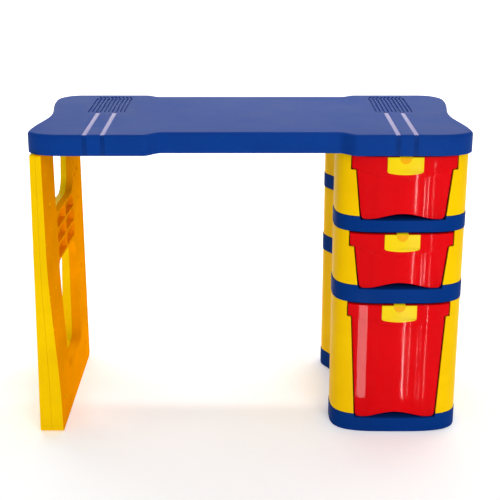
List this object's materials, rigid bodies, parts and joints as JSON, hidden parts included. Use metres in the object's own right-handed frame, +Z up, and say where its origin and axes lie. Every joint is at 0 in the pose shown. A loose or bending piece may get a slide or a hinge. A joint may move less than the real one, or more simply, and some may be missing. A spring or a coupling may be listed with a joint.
{
  "type": "toy workbench",
  "caption": "Moulded plastic play desk with a dog-bone shaped top, a pierced leg panel and a waisted pedestal of tapered drawers with clip-on handles.",
  "frame": {"origin": "on the floor, at the middle of the whole desk's footprint", "axes": "+X to the user's right, along the desktop; +Y from the user's side to the back; +Z up"},
  "size_m": [0.8038, 0.39, 0.585],
  "materials": {
    "blue_plastic": "satin moulded polypropylene, fine texture",
    "yellow_plastic": "satin moulded polypropylene",
    "lemon_plastic": "glossy moulded polypropylene",
    "red_plastic": "glossy moulded polypropylene",
    "screw_steel": "zinc-plated"
  },
  "bodies": {
    "frame": {"desktop": "blue_plastic", "pedestal_base": "blue_plastic", "lower_shelf": "blue_plastic", "upper_shelf": "blue_plastic", "leg_outer_shell": "yellow_plastic", "leg_inner_shell": "yellow_plastic", "lower_left_side_panel": "yellow_plastic", "lower_right_side_panel": "yellow_plastic", "lower_back_panel": "yellow_plastic", "middle_left_side_panel": "yellow_plastic", "middle_right_side_panel": "yellow_plastic", "middle_back_panel": "yellow_plastic", "upper_left_side_panel": "yellow_plastic", "upper_right_side_panel": "yellow_plastic", "upper_back_panel": "yellow_plastic", "leg_shell_screw_1": "screw_steel", "leg_shell_screw_2": "screw_steel", "leg_shell_screw_3": "screw_steel", "leg_shell_screw_4": "screw_steel", "leg_shell_screw_5": "screw_steel", "leg_shell_screw_6": "screw_steel", "leg_front_fixing_screw": "screw_steel", "leg_rear_fixing_screw": "screw_steel", "pedestal_fixing_screw_1": "screw_steel", "pedestal_fixing_screw_2": "screw_steel", "pedestal_fixing_screw_3": "screw_steel", "pedestal_fixing_screw_4": "screw_steel"},
    "lower_drawer": {"lower_drawer_bin": "red_plastic", "lower_drawer_handle": "lemon_plastic"},
    "middle_drawer": {"middle_drawer_bin": "red_plastic", "middle_drawer_handle": "lemon_plastic"},
    "upper_drawer": {"upper_drawer_bin": "red_plastic", "upper_drawer_handle": "lemon_plastic"}
  },
  "joints": [
    {"name": "lower_drawer_slide", "type": "slide", "parent": "frame", "child": "lower_drawer", "axis": [0, -1, 0], "range_m": [0, 0.26]},
    {"name": "middle_drawer_slide", "type": "slide", "parent": "frame", "child": "middle_drawer", "axis": [0, -1, 0], "range_m": [0, 0.26]},
    {"name": "upper_drawer_slide", "type": "slide", "parent": "frame", "child": "upper_drawer", "axis": [0, -1, 0], "range_m": [0, 0.26]}
  ]
}
